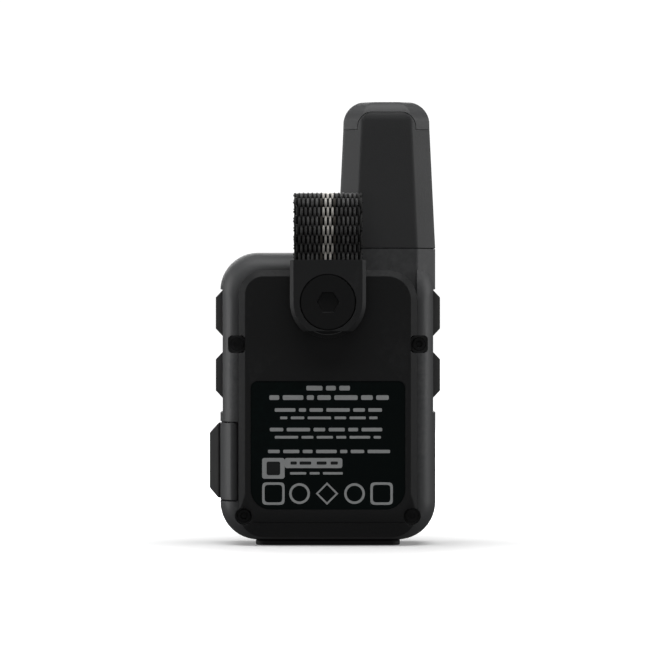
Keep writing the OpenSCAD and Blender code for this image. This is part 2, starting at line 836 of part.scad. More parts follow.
module power_key() {
    color("#232427") translate([power_x, key_y, 0]) union() {
        translate([0, 0, power_flange_z]) cylinder(r = power_r, h = top_z - 0.1 - power_flange_z);
        translate([0, 0, power_flange_z - 0.2]) cylinder(r = power_r + flange_lip, h = power_flange_t);
        translate([0, 0, power_stem_z]) cylinder(r = stem_r, h = power_flange_z - power_stem_z);
    }
}

module alarm_key() {
    x0 = block_x - free_gap - flange_t;
    tip = switch_tip_x + plunger_l + free_gap + alarm_travel;
    color("#c8401f") translate([0, key_y, cover_z]) rotate([0, 90, 0]) union() {
        translate([0, 0, x0]) cylinder(r = alarm_r, h = side_x - cover_depth - 0.1 - x0);
        translate([0, 0, x0]) cylinder(r = alarm_r + 0.8, h = flange_t);
        if (tip < x0) translate([0, 0, tip]) cylinder(r = stem_r, h = x0 - tip + 0.1);
    }
}

// ---------------------------------------------------------------- side covers

module alarm_cover() {
    z0 = cover_z - cover_l / 2;
    z1 = cover_z + cover_l / 2;
    color("#3b3d40") difference() {
        union() {
            intersection() {
                difference() {
                    case_block(0);
                    case_block(cover_t);
                }
                box([hinge_x + 0.3, cover_front_y, z0], [side_x + past, back_y, z1]);
            }
            translate([hinge_x, hinge_y, z0]) cylinder(r = knuckle_r, h = cover_l);
        }
        translate([hinge_x, hinge_y, z0 - past])
            cylinder(r = hinge_pin_r + running_gap, h = cover_l + 2 * past);
    }
}

module cover_grip() {
    l = cover_l / 2 - 0.2;
    d = key_d / 2;
    color("#232427") hull() {
        box([side_x, key_y - d, cover_z - l], [side_x + 0.5, key_y + d, cover_z + l]);
        box([side_x + grip_proud - leaf, key_y - d + 1.9, cover_z - l + 2.2],
            [side_x + grip_proud, key_y + d - 1.9, cover_z + l - 2.2]);
    }
}

module cover_hinge_pin() {
    l = cover_l + 2 * (free_gap + pin_reach) - 0.2;
    color("#a9acb0") translate([hinge_x, hinge_y, cover_z - l / 2]) cylinder(r = hinge_pin_r, h = l);
}

module usb_cap() {
    l = usb_cap_l / 2;
    d = usb_cap_d / 2;
    x = -side_x + cover_t;
    color("#2a2b2d") union() {
        box([-side_x, usb_y - d, cover_z - l], [x, usb_y + d, cover_z + l]);
        box([x - 0.1, usb_y - usb_plug_t / 2, cover_z - usb_plug_w / 2],
            [x + 1.4, usb_y + usb_plug_t / 2, cover_z + usb_plug_w / 2]);
    }
}

// ---------------------------------------------------------------- antenna

// The arched panel at the back of the antenna that runs up into the cap.
module cap_arch(grow) {
    plate(0, antenna_d) rounded(antenna_x - arch_w / 2 - grow, antenna_x + arch_w / 2 + grow,
        cap_z - 4, cap_z + arch_h + grow, [0.1, 0.1, arch_r, arch_r]);
}

module antenna_shell() {
    color("#46484b") difference() {
        antenna_block(0);
        antenna_block(antenna_wall);
        translate([antenna_x, 0, root_z - past])
            cylinder(r = former_flange_r + 2 * running_gap, h = antenna_wall + seal_t + 2 * past);
        difference() {
            box([antenna_x - antenna_w, -antenna_d, cap_z],
                [antenna_x + antenna_w, antenna_d, antenna_top_z + past]);
            cap_arch(0);
        }
    }
}

module antenna_cap() {
    color("#505255") difference() {
        antenna_block(0);
        antenna_block(antenna_wall);
        box([antenna_x - antenna_w, -antenna_d, root_z - past],
            [antenna_x + antenna_w, antenna_d, cap_z + seam_gap]);
        cap_arch(seam_gap);
    }
}

module antenna_seal() {
    w = antenna_w / 2 - 1.4;
    d = antenna_d / 2 - 3;
    color("#101112") translate([0, 0, root_z]) linear_extrude(seal_t) difference() {
        rounded(antenna_x - w, antenna_x + w, -d, d, [1, 1, 1, 1]);
        translate([antenna_x, 0]) circle(4);
    }
}

module antenna_former() {
    color("#d8d4c8") translate([antenna_x, 0, root_z + seal_t + 0.2]) difference() {
        union() {
            cylinder(r = former_r, h = former_h);
            cylinder(r = former_flange_r, h = former_flange_t);
        }
        translate([0, 0, -past]) cylinder(r = coax_r + 0.3, h = former_h / 2);
    }
}

module antenna_helix() {
    r = former_r + helix_r + running_gap;
    turns = 1.5;
    steps = 54;
    z0 = root_z + seal_t + 2.2;
    rise = former_h - 4;
    route = [for (i = [0:steps]) let (a = 360 * turns * i / steps)
        [antenna_x + r * cos(a), r * sin(a), z0 + rise * i / steps]];
    color("#c77b3c") swept_tube(route, helix_r, 8);
}

// ---------------------------------------------------------------- clip and webbing

module clip_insert() {
    color("#b08d3e") difference() {
        y_rod(0, clip_z, insert_r, case_back_y - insert_deep, clip_y0 - 0.2);
        y_rod(0, clip_z, thread_r + running_gap, case_back_y - insert_deep + 1, clip_y0 + past);
    }
}

// The clip's outline at one depth: round below the screw and straight above it.
function clip_ring(y, inset) = let (h = clip_w / 2 - inset)
    [for (p = rounded_points(-h, h, clip_z - h, clip_top_z, [h, h, clip_corner_r, clip_corner_r]))
        [p[0], y, p[1]]];

module clip_body() {
    h = clip_w / 2;
    slot = tail_half + slot_gap;
    color("#212224") difference() {
        skinned([
            clip_ring(clip_y1, clip_bevel),
            clip_ring(clip_y1 - clip_bevel, 0),
            clip_ring(clip_back_y, 0)
        ]);
        box([-h - past, back_y - past, clip_z - h - past], [h + past, clip_y1 + past, clip_cut_z]);
        box([-h - past, back_y - past, clip_cut_z - past], [h + past, clip_y0, boss_flat_z + free_gap]);
        y_rod(0, clip_z, head_r + head_gap, clip_y1 - head_t, clip_y1 + past);
        y_rod(0, clip_z, thread_r + 2 * running_gap, clip_y0 - past, clip_y1);
        box([-strap_w / 2 - slot_gap, strap_y - slot, slot_floor_z],
            [strap_w / 2 + slot_gap, strap_y + slot, clip_top_z + past]);
        translate([-h + 0.1, strap_y, bar_z]) rotate([0, 90, 0])
            cylinder(r = bar_r + running_gap, h = 2 * h - 0.2);
    }
}

module clip_screw() {
    y0 = clip_y1 - head_t;
    color("#1b1c1e") difference() {
        union() {
            y_rod(0, clip_z, head_r, y0, clip_y1 - 0.05);
            y_rod(0, clip_z, thread_r, case_back_y - insert_deep + 1.4, y0 + 0.1);
        }
        y_rod(0, clip_z, hex_w / sqrt(3), y0 + hex_floor, clip_y1 + past, $fn = 6);
    }
}

module strap_bar() {
    l = clip_w - 0.4;
    color("#9a9da1") translate([-l / 2, strap_y, bar_z]) rotate([0, 90, 0]) cylinder(r = bar_r, h = l);
}

// A side outline in Y and Z pushed across the width of the webbing.
module across(w) {
    translate([-w / 2, 0, 0]) rotate([90, 0, 90]) linear_extrude(w) children();
}

module strap_tail() {
    color("#242527") across(strap_w) difference() {
        union() {
            translate([strap_y, bar_z]) circle(tail_half);
            translate([strap_y - tail_half, bar_z]) square([2 * tail_half, clip_top_z - bar_z]);
        }
        translate([strap_y, bar_z]) circle(bar_r + running_gap);
    }
}

// The loop's side outline: a narrow mouth that widens into a round end.
module loop_outline(inset) {
    r = loop_r + strap_t - inset;
    hull() {
        translate([strap_y, loop_top_z - inset - r]) circle(r);
        translate([strap_y, loop_top_z - loop_r - strap_t - 5]) circle(r);
        translate([strap_y - tail_half + inset, loop_z0 + 2.4 * inset])
            square([2 * (tail_half - inset), leaf]);
    }
}

module strap_loop() {
    color("#242527") across(strap_w) difference() {
        loop_outline(0);
        loop_outline(strap_t);
    }
}

front_case();
display_window();
window_gasket();
display_panel();
display_backlight();
display_flex();
inner_frame();
main_board();
radio_shield();
gps_shield();
battery();
battery_pad();
battery_lead();
buzzer();
status_light_pipe();
usb_socket();
usb_cap();
gps_patch();
edge_switch(-1, upper_key_z);  // switch_up
edge_switch(-1, lower_key_z);  // switch_down
edge_switch(1, upper_key_z);  // switch_ok
edge_switch(1, lower_key_z);  // switch_back
switch_power();
edge_switch(1, cover_z);  // switch_alarm
side_key(-1, upper_key_z, "#3a3b3e");  // up_key
side_key(-1, lower_key_z, "#3a3b3e");  // down_key
side_key(1, upper_key_z, "#2f3032");  // ok_key
side_key(1, lower_key_z, "#2f3032");  // back_key
power_key();
alarm_key();
rear_case();
rear_panel();
rear_label();
foot_pad();
for (i = [1:4]) {
    case_screw(i);
    case_insert(i);
}
alarm_cover();
cover_grip();
cover_hinge_pin();
antenna_shell();
antenna_cap();
antenna_seal();
antenna_former();
antenna_helix();
antenna_coax();
clip_insert();
clip_body();
clip_screw();
strap_bar();
strap_tail();
strap_loop();
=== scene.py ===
import json
import math
import bpy
import bmesh
import numpy as np
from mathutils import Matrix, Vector


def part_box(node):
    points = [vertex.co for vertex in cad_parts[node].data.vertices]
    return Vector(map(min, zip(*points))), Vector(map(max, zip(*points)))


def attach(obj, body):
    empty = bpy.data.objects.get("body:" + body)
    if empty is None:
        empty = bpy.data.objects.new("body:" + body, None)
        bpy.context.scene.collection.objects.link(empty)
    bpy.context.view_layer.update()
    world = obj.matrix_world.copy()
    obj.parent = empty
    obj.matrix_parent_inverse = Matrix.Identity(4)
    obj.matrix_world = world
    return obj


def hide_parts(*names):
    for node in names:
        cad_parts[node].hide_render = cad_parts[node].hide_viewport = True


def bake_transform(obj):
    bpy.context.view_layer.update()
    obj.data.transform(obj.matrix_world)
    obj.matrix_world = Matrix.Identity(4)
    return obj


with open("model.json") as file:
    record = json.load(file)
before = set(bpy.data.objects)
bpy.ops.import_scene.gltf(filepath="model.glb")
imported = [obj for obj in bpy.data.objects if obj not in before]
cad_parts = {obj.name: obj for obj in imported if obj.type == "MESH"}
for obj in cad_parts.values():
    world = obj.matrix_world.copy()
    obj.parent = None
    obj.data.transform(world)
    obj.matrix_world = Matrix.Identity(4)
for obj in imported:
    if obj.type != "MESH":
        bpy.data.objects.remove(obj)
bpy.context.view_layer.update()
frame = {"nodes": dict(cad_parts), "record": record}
nodes = frame["nodes"]
mm = 0.001
bodyOf = {node: body for body, group in frame["record"]["behaviour"]["bodies"].items() for node in group}
print("frame loaded:", len(nodes), "nodes")


def addMesh(name, points, faces, smooth=True):
    # points are rows of x, y, z in metres, faces are rows of point numbers
    mesh = bpy.data.meshes.new(name)
    mesh.from_pydata(points.tolist(), [], faces)
    mesh.update()
    mesh.polygons.foreach_set("use_smooth", [smooth] * len(mesh.polygons))
    piece = bpy.data.objects.new(name, mesh)
    bpy.context.scene.collection.objects.link(piece)
    return piece


def gridFaces(rows, cols):
    # quads on a grid whose columns close into a ring: each joins a point, its neighbour and the two above
    r, c = np.meshgrid(np.arange(rows - 1), np.arange(cols), indexing="ij")
    across = (c + 1) % cols
    quads = [r * cols + c, r * cols + across, (r + 1) * cols + across, (r + 1) * cols + c]
    return np.stack(quads, axis=-1).reshape(-1, 4)


def turnFacesOutward(piece):
    work = bmesh.new()
    work.from_mesh(piece.data)
    bmesh.ops.recalc_face_normals(work, faces=work.faces)
    work.to_mesh(piece.data)
    work.free()


def bakeModifiers(piece):
    graph = bpy.context.evaluated_depsgraph_get()
    mesh = bpy.data.meshes.new_from_object(piece.evaluated_get(graph))
    old = piece.data
    piece.modifiers.clear()
    piece.data = mesh
    bpy.data.meshes.remove(old)


# merge distance in millimetres, and angles in degrees: faces within the flat angle are joined, and edges
# over the sharp angle are rounded
softening = {"merge": 0.004, "flatAngle": 0.6, "sharpAngle": 28, "segments": 3, "normalWeight": 80}


def softened(node, radius):
    # a merged copy of a moulding whose sharp edges are rounded, as they leave the tool
    mesh = nodes[node].data.copy()
    work = bmesh.new()
    work.from_mesh(mesh)
    bmesh.ops.remove_doubles(work, verts=work.verts, dist=softening["merge"] * mm)
    flatAngle = math.radians(softening["flatAngle"])
    bmesh.ops.dissolve_limit(work, angle_limit=flatAngle, verts=work.verts, edges=work.edges)
    bmesh.ops.recalc_face_normals(work, faces=work.faces)
    work.to_mesh(mesh)
    work.free()
    mesh.materials.clear()
    mesh.polygons.foreach_set("use_smooth", [True] * len(mesh.polygons))
    piece = bpy.data.objects.new(node + "_finished", mesh)
    bpy.context.scene.collection.objects.link(piece)
    bevel = piece.modifiers.new("moulded edges", "BEVEL")
    bevel.width = radius * mm
    bevel.segments = softening["segments"]
    bevel.limit_method = "ANGLE"
    bevel.angle_limit = math.radians(softening["sharpAngle"])
    bevel.use_clamp_overlap = True
    bevel.miter_outer = "MITER_ARC"
    weighted = piece.modifiers.new("even shading", "WEIGHTED_NORMAL")
    weighted.weight = softening["normalWeight"]
    bakeModifiers(piece)
    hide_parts(node)
    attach(piece, bodyOf[node])
    return piece


def newGroup(name, inputs, outputs):
    group = bpy.data.node_groups.new(name, "ShaderNodeTree")
    for label, kind, value in inputs:
        socket = group.interface.new_socket(label, in_out="INPUT", socket_type=kind)
        socket.default_value = value
    for label, kind in outputs:
        group.interface.new_socket(label, in_out="OUTPUT", socket_type=kind)
    return group, group.nodes.new("NodeGroupInput"), group.nodes.new("NodeGroupOutput")


def mathNode(tree, operation, *values, clamp=False):
    node = tree.nodes.new("ShaderNodeMath")
    node.operation = operation
    node.use_clamp = clamp
    for socket, value in zip(node.inputs, values):
        if isinstance(value, (int, float)):
            socket.default_value = value
        else:
            tree.links.new(value, socket)
    return node.outputs[0]


def noiseNode(tree, vector, scale, detail=4.0, roughness=0.55):
    node = tree.nodes.new("ShaderNodeTexNoise")
    node.inputs["Scale"].default_value = scale
    node.inputs["Detail"].default_value = detail
    node.inputs["Roughness"].default_value = roughness
    tree.links.new(vector, node.inputs["Vector"])
    return node.outputs["Fac"]


def rangeNode(tree, value, low, high, outLow=0.0, outHigh=1.0):
    node = tree.nodes.new("ShaderNodeMapRange")
    for socket, number in zip(node.inputs[1:5], (low, high, outLow, outHigh)):
        socket.default_value = number
    tree.links.new(value, node.inputs[0])
    return node.outputs[0]


def mixNode(tree, factor, a, b):
    node = tree.nodes.new("ShaderNodeMix")
    node.data_type = "RGBA"
    for socket, value in ((node.inputs["Factor"], factor), (node.inputs["A"], a), (node.inputs["B"], b)):
        if isinstance(value, tuple):
            socket.default_value = value
        else:
            tree.links.new(value, socket)
    return node.outputs["Result"]


def scaledColour(tree, colour, factor):
    node = tree.nodes.new("ShaderNodeVectorMath")
    node.operation = "SCALE"
    tree.links.new(colour, node.inputs[0])
    tree.links.new(factor, node.inputs["Scale"])
    return node.outputs[0]


# features per metre of each noise in the mould's grain
grainScale = {"fine": 9000.0, "broad": 90.0, "dust": 1500.0, "patches": 700.0}


def makeMouldGrain():
    # the fine cells of an eroded mould, a broad faint change of tone, light dust, and rubbed outer edges
    tree, ins, outs = newGroup("mouldGrain", [
        ("Grain", "NodeSocketFloat", 3500.0), ("Tone Spread", "NodeSocketFloat", 0.1),
        ("Rough", "NodeSocketFloat", 0.5), ("Rough Spread", "NodeSocketFloat", 0.08),
        ("Color", "NodeSocketColor", (0.05, 0.05, 0.05, 1.0)),
        ("Wear Color", "NodeSocketColor", (0.12, 0.12, 0.12, 1.0)), ("Wear", "NodeSocketFloat", 0.3)],
        [("Color", "NodeSocketColor"), ("Roughness", "NodeSocketFloat"), ("Height", "NodeSocketFloat")])
    place = tree.nodes.new("ShaderNodeTexCoord").outputs["Object"]
    cells = tree.nodes.new("ShaderNodeTexVoronoi")
    cells.feature = "SMOOTH_F1"
    tree.links.new(place, cells.inputs["Vector"])
    tree.links.new(ins.outputs["Grain"], cells.inputs["Scale"])
    fine = mathNode(tree, "MULTIPLY", noiseNode(tree, place, grainScale["fine"], 2.0), 0.3)
    height = mathNode(tree, "MULTIPLY_ADD", cells.outputs["Distance"], 0.7, fine)
    broad = mathNode(tree, "SUBTRACT", noiseNode(tree, place, grainScale["broad"], 5.0), 0.5)
    dust = rangeNode(tree, noiseNode(tree, place, grainScale["dust"], 6.0, 0.7), 0.62, 0.74)
    outerEdge = rangeNode(tree, tree.nodes.new("ShaderNodeNewGeometry").outputs["Pointiness"], 0.52, 0.62)
    patches = rangeNode(tree, noiseNode(tree, place, grainScale["patches"], 6.0, 0.7), 0.4, 0.65)
    rubbed = mathNode(tree, "MULTIPLY", outerEdge, patches)
    worn = mathNode(tree, "MULTIPLY", rubbed, ins.outputs["Wear"], clamp=True)
    spread = ins.outputs["Tone Spread"]
    tone = mathNode(tree, "MULTIPLY_ADD", broad, spread, 1.0)
    tone = mathNode(tree, "MULTIPLY_ADD", mathNode(tree, "MULTIPLY", dust, 0.6), spread, tone)
    cellTone = mathNode(tree, "SUBTRACT", cells.outputs["Distance"], 0.5)
    tone = mathNode(tree, "MULTIPLY_ADD", cellTone, spread, tone)
    colour = mixNode(tree, worn, scaledColour(tree, ins.outputs["Color"], tone), ins.outputs["Wear Color"])
    roughSpread = ins.outputs["Rough Spread"]
    rough = mathNode(tree, "MULTIPLY_ADD", broad, roughSpread, ins.outputs["Rough"])
    rough = mathNode(tree, "MULTIPLY_ADD", mathNode(tree, "MULTIPLY", dust, 0.7), roughSpread, rough)
    tree.links.new(colour, outs.inputs["Color"])
    tree.links.new(rough, outs.inputs["Roughness"])
    tree.links.new(height, outs.inputs["Height"])
    return tree


def makeYarnTwist():
    # fine filaments that run along a yarn and turn slowly round it, streaked with a painted sheen, and a tone
    # for every point: each yarn's own tone, with painted shade on the warp where it dips under a weft
    tree, ins, outs = newGroup("yarnTwist", [
        ("Dark", "NodeSocketColor", (0.01, 0.01, 0.01, 1.0)),
        ("Light", "NodeSocketColor", (0.1, 0.1, 0.1, 1.0)),
        ("Filaments", "NodeSocketFloat", 16.0), ("Rough", "NodeSocketFloat", 0.45)],
        [("Color", "NodeSocketColor"), ("Roughness", "NodeSocketFloat"), ("Height", "NodeSocketFloat")])
    uv = tree.nodes.new("ShaderNodeUVMap")
    uv.uv_map = "yarn"
    parts = tree.nodes.new("ShaderNodeSeparateXYZ")
    tree.links.new(uv.outputs["UV"], parts.inputs[0])
    turned = mathNode(tree, "MULTIPLY_ADD", parts.outputs["X"], 0.22, parts.outputs["Y"])
    stretched = tree.nodes.new("ShaderNodeCombineXYZ")
    tree.links.new(mathNode(tree, "MULTIPLY", parts.outputs["X"], 0.9), stretched.inputs["X"])
    tree.links.new(mathNode(tree, "MULTIPLY", turned, ins.outputs["Filaments"]), stretched.inputs["Y"])
    strands = noiseNode(tree, stretched.outputs[0], 1.6, 3.0, 0.6)
    wave = mathNode(tree, "SINE", mathNode(tree, "MULTIPLY", turned, 75.0))
    tone = tree.nodes.new("ShaderNodeAttribute")
    tone.attribute_name = "yarnToneAndPaintedShade"
    # the share of the Light colour is a painted sheen along the strands, scaled by the point's tone so it is
    # brightest on the crests
    light = rangeNode(tree, strands, 0.35, 0.7)
    light = mathNode(tree, "MULTIPLY", light, tone.outputs["Fac"], clamp=True)
    height = mathNode(tree, "MULTIPLY_ADD", wave, 0.2, strands)
    lift = mathNode(tree, "SUBTRACT", strands, 0.5)
    rough = mathNode(tree, "MULTIPLY_ADD", lift, 0.25, ins.outputs["Rough"])
    tree.links.new(mixNode(tree, light, ins.outputs["Dark"], ins.outputs["Light"]), outs.inputs["Color"])
    tree.links.new(rough, outs.inputs["Roughness"])
    tree.links.new(height, outs.inputs["Height"])
    return tree


mouldGrain = makeMouldGrain()
yarnTwist = makeYarnTwist()


def linear(tone):
    # a tone on the 0 to 255 display scale as linear light
    share = tone / 255
    return share / 12.92 if share <= 0.04045 else ((share + 0.055) / 1.055) ** 2.4


def tinted(tone, tint=(1.0, 1.0, 1.0)):
    return tuple(linear(tone) * t for t in tint) + (1.0,)


def groupMaterial(name, group, values, bump, specular=0.5, metallic=0.0, coat=0.0, sheen=0.0):
    material = bpy.data.materials.new(name)
    material.use_nodes = True
    tree = material.node_tree
    shader = tree.nodes["Principled BSDF"]
    node = tree.nodes.new("ShaderNodeGroup")
    node.node_tree = group
    for label, value in values.items():
        node.inputs[label].default_value = value
    shader.inputs["Metallic"].default_value = metallic
    shader.inputs["Specular IOR Level"].default_value = specular
    shader.inputs["Coat Weight"].default_value = coat
    shader.inputs["Sheen Weight"].default_value = sheen
    bumpNode = tree.nodes.new("ShaderNodeBump")
    bumpNode.inputs["Distance"].default_value = bump * mm
    bumpNode.inputs["Strength"].default_value = 0.8
    tree.links.new(node.outputs["Height"], bumpNode.inputs["Height"])
    tree.links.new(bumpNode.outputs["Normal"], shader.inputs["Normal"])
    tree.links.new(node.outputs["Color"], shader.inputs["Base Color"])
    tree.links.new(node.outputs["Roughness"], shader.inputs["Roughness"])
    return material


def moulded(name, tone, tint=(0.98, 1.0, 1.03), rough=0.5, spread=0.08, grain=3500.0, bump=0.012, vary=0.14,
            wear=0.25, **shaderValues):
    values = {"Grain": grain, "Tone Spread": vary, "Rough": rough, "Rough Spread": spread, "Wear": wear,
              "Color": tinted(tone, tint), "Wear Color": tinted(tone * 1.3 + 14, tint)}
    return groupMaterial(name, mouldGrain, values, bump, **shaderValues)


neutral = (1.0, 1.0, 1.0)
finishes = {
    "frameGrey": dict(tone=74, rough=0.5, grain=4200.0, bump=0.02, specular=0.4),
    "capGrey": dict(tone=74, rough=0.48, grain=4200.0, bump=0.02, specular=0.4),
    "antennaGrey": dict(tone=61, rough=0.52, grain=4200.0, bump=0.022, specular=0.4),
    "caseBlack": dict(tone=36, rough=0.42, grain=5200.0, bump=0.012, specular=0.4),
    "panelBlack": dict(tone=41, rough=0.55, grain=3600.0, bump=0.02, specular=0.2),
    "clipBlack": dict(tone=52, rough=0.5, grain=5200.0, bump=0.012, specular=0.15),
    # the rim's pale tone is a painted highlight: black plastic made pale where light thrown up from the floor
    # falls on the rim's downward bevel
    "rimPaintedBounceLight": dict(tone=105, rough=0.5, grain=5200.0, bump=0.012, specular=0.3),
    "keyRubber": dict(tone=62, rough=0.62, grain=6500.0, bump=0.008, tint=neutral, specular=0.35),
    "gripRubber": dict(tone=38, rough=0.66, grain=5000.0, bump=0.012, tint=neutral, specular=0.35),
    "footRubber": dict(tone=40, rough=0.7, grain=5000.0, bump=0.014, tint=neutral, specular=0.3),
    "foamBlack": dict(tone=20, rough=0.9, grain=2200.0, bump=0.04, tint=neutral, specular=0.2),
    "screwBlack": dict(tone=34, rough=0.45, grain=6000.0, bump=0.006, metallic=0.3, wear=0.5, specular=0.2),
    "pinBlack": dict(tone=26, rough=0.45, grain=6000.0, bump=0.004, metallic=0.5),
    "pinSteel": dict(tone=150, rough=0.3, grain=6000.0, bump=0.004, metallic=1.0, wear=0.5),
    "shieldSteel": dict(tone=185, rough=0.36, grain=2600.0, bump=0.004, metallic=1.0),
    "brassTurned": dict(tone=190, tint=(1.0, 0.72, 0.34), rough=0.3, grain=4000.0, bump=0.003, metallic=1.0),
    "copperWire": dict(tone=200, tint=(1.0, 0.55, 0.36), rough=0.32, grain=4000.0, bump=0.003, metallic=1.0),
    "cellFoil": dict(tone=150, rough=0.38, grain=900.0, bump=0.02, metallic=0.8),
    "boardGreen": dict(tone=110, tint=(0.25, 1.0, 0.5), rough=0.35, grain=1500.0, bump=0.005),
    "flexAmber": dict(tone=150, tint=(1.0, 0.55, 0.16), rough=0.35, grain=1500.0, bump=0.004),
    "ceramicCream": dict(tone=205, tint=(1.0, 0.93, 0.75), rough=0.55, grain=3000.0, bump=0.006),
    "formerWhite": dict(tone=205, tint=(1.0, 0.98, 0.93), rough=0.5, grain=3000.0, bump=0.006),
    "leadRed": dict(tone=170, tint=(1.0, 0.1, 0.08), rough=0.42, grain=3000.0, bump=0.004),
    "coaxBrown": dict(tone=120, tint=(1.0, 0.6, 0.3), rough=0.3, grain=3000.0, bump=0.004),
    "alarmOrange": dict(tone=225, tint=(1.0, 0.3, 0.08), rough=0.4, grain=5000.0, bump=0.006),
    "labelFilm": dict(tone=13, tint=(0.35, 1.15, 1.1), rough=0.55, grain=7000.0, bump=0.003, vary=0.25,
                      specular=0.12),
    "printGrey": dict(tone=198, tint=(0.97, 1.0, 1.0), rough=0.5, grain=7000.0, bump=0.003, vary=0.2,
                      wear=0.0),
    "printDark": dict(tone=20, tint=(0.6, 1.0, 1.0), rough=0.5, grain=7000.0, bump=0.003, vary=0.2,
                      wear=0.0),
    "displayGlass": dict(tone=120, tint=(0.96, 1.0, 0.95), rough=0.2, grain=2000.0, bump=0.001, wear=0.0),
    "lightGuide": dict(tone=215, tint=(0.95, 1.0, 0.92), rough=0.25, grain=2000.0, bump=0.002, wear=0.0),
}
materials = {name: moulded(name, **values) for name, values in finishes.items()}


def yarnMaterial(name, dark, light, rough, tint=neutral):
    values = {"Dark": tinted(dark, tint), "Light": tinted(light, tint), "Filaments": 18.0, "Rough": rough}
    return groupMaterial(name, yarnTwist, values, 0.03, specular=0.2, sheen=0.1)


# each yarn's Light colour is a painted sheen streaked along its filaments; on the black yarn it is far paler
# than the yarn itself
materials["yarnBlack"] = yarnMaterial("yarnBlack", 16, 158, 0.6)
materials["yarnCream"] = yarnMaterial("yarnCream", 212, 252, 0.6, (1.0, 0.96, 0.9))
materials["yarnTaupe"] = yarnMaterial("yarnTaupe", 50, 130, 0.55, (1.0, 0.92, 0.8))
# near-black weft: partly its own colour, partly painted shade seen through the holes in the weave
materials["weftBlackAndHoleShade"] = yarnMaterial("weftBlackAndHoleShade", 4, 16, 0.8)


windowBorder = 1.9 * mm


def makeWindowGlass():
    # a glossy black border round a dull, dark green-grey active area that is square on the window
    low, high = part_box("display_window")
    half = (high[0] - low[0]) / 2 - windowBorder
    material = moulded("windowGlass", 10, rough=0.07, spread=0.02, grain=2000.0, bump=0.0003, wear=0.0,
                       coat=1.0)
    tree = material.node_tree
    shader = tree.nodes["Principled BSDF"]
    border = shader.inputs["Base Color"].links[0].from_socket
    place = tree.nodes.new("ShaderNodeMapping")
    place.inputs["Location"].default_value = (0, 0, -(low[2] + high[2]) / 2)
    tree.links.new(tree.nodes.new("ShaderNodeTexCoord").outputs["Object"], place.inputs["Vector"])
    parts = tree.nodes.new("ShaderNodeSeparateXYZ")
    tree.links.new(place.outputs[0], parts.inputs[0])
    reach = mathNode(tree, "MAXIMUM", mathNode(tree, "ABSOLUTE", parts.outputs["X"]),
                     mathNode(tree, "ABSOLUTE", parts.outputs["Z"]))
    inside = rangeNode(tree, reach, half, half + 0.15 * mm, 1.0, 0.0)
    speckle = rangeNode(tree, noiseNode(tree, place.outputs[0], 5200.0, 3.0), 0.3, 0.7)
    active = mixNode(tree, speckle, tinted(46, (0.95, 1.0, 0.95)), tinted(54, (0.95, 1.0, 0.95)))
    tree.links.new(mixNode(tree, inside, border, active), shader.inputs["Base Color"])
    return material


materials["windowGlass"] = makeWindowGlass()
print("materials ready:", len(materials))

finishOfNode = {
    "front_case": "caseBlack", "rear_case": "frameGrey", "rear_panel": "panelBlack", "rear_label": "labelFilm",
    "foot_pad": "footRubber", "alarm_cover": "frameGrey", "cover_grip": "gripRubber", "usb_cap": "caseBlack",
    "antenna_shell": "antennaGrey", "antenna_cap": "capGrey", "antenna_seal": "foamBlack",
    "clip_body": "clipBlack", "clip_screw": "screwBlack", "clip_insert": "brassTurned",
    "display_window": "windowGlass", "window_gasket": "foamBlack", "display_panel": "displayGlass",
    "display_backlight": "lightGuide", "display_flex": "flexAmber", "inner_frame": "caseBlack",
    "main_board": "boardGreen", "radio_shield": "shieldSteel", "gps_shield": "shieldSteel",
    "battery": "cellFoil", "battery_pad": "foamBlack", "battery_lead": "leadRed", "buzzer": "caseBlack",
    "status_light_pipe": "lightGuide", "usb_socket": "shieldSteel", "gps_patch": "ceramicCream",
    "cover_hinge_pin": "pinBlack", "strap_bar": "pinSteel", "antenna_former": "formerWhite",
    "antenna_helix": "copperWire", "antenna_coax": "coaxBrown", "power_key": "keyRubber",
    "alarm_key": "alarmOrange", "up_key": "keyRubber", "down_key": "keyRubber",
    "ok_key": "keyRubber", "back_key": "keyRubber",
}
finishOfStart = {"switch_": "caseBlack", "case_screw_": "screwBlack", "case_insert_": "brassTurned"}
for name in nodes:
    for start, finish in finishOfStart.items():
        if name.startswith(start):
            finishOfNode[name] = finish
for name, finish in finishOfNode.items():
    nodes[name].data.materials.clear()
    nodes[name].data.materials.append(materials[finish])
print("finishes on the frame's own nodes:", len(finishOfNode))

# radius in millimetres of each moulding's edges
edgeRadius = {
    "rear_case": 0.18, "front_case": 0.18, "rear_panel": 0.22, "foot_pad": 0.25, "alarm_cover": 0.2,
    "cover_grip": 0.7, "usb_cap": 0.3, "antenna_shell": 0.1, "antenna_cap": 0.12, "clip_body": 0.2,
    "clip_screw": 0.1, "rear_label": 0.05, "up_key": 0.5, "down_key": 0.5, "ok_key": 0.5, "back_key": 0.5,
    "power_key": 0.2, "alarm_key": 0.25, "case_screw_1": 0.12, "case_screw_2": 0.12, "case_screw_3": 0.12,
    "case_screw_4": 0.12, "display_window": 0.15,
}
for name, radius in edgeRadius.items():
    softened(name, radius).data.materials.append(materials[finishOfNode[name]])
print("mouldings with rounded edges:", len(edgeRadius))


yarnSides = 8


def carriedTubes(centre, across, up, halfWide, halfThick, sides=yarnSides):
    # an ellipse carried along many paths at once: the centre, plus across times the half width times the
    # cosine, plus up times the half thickness times the sine. The arrays run over path, step and x, y, z
    angle = np.arange(sides) * 2 * math.pi / sides
    points = (centre[:, :, None, :]
              + across[:, :, None, :] * (halfWide[:, :, None] * np.cos(angle))[..., None]
              + up[:, :, None, :] * (halfThick[:, :, None] * np.sin(angle))[..., None])
    count, steps = centre.shape[:2]
    quads = gridFaces(steps, sides)
    size = steps * sides
    faces = []
    for path in range(count):
        first = path * size
        faces += (quads + first).tolist()
        faces.append(list(range(first + sides - 1, first - 1, -1)))
        faces.append(list(range(first + size - sides, first + size)))
    return points.reshape(-1, 3), faces


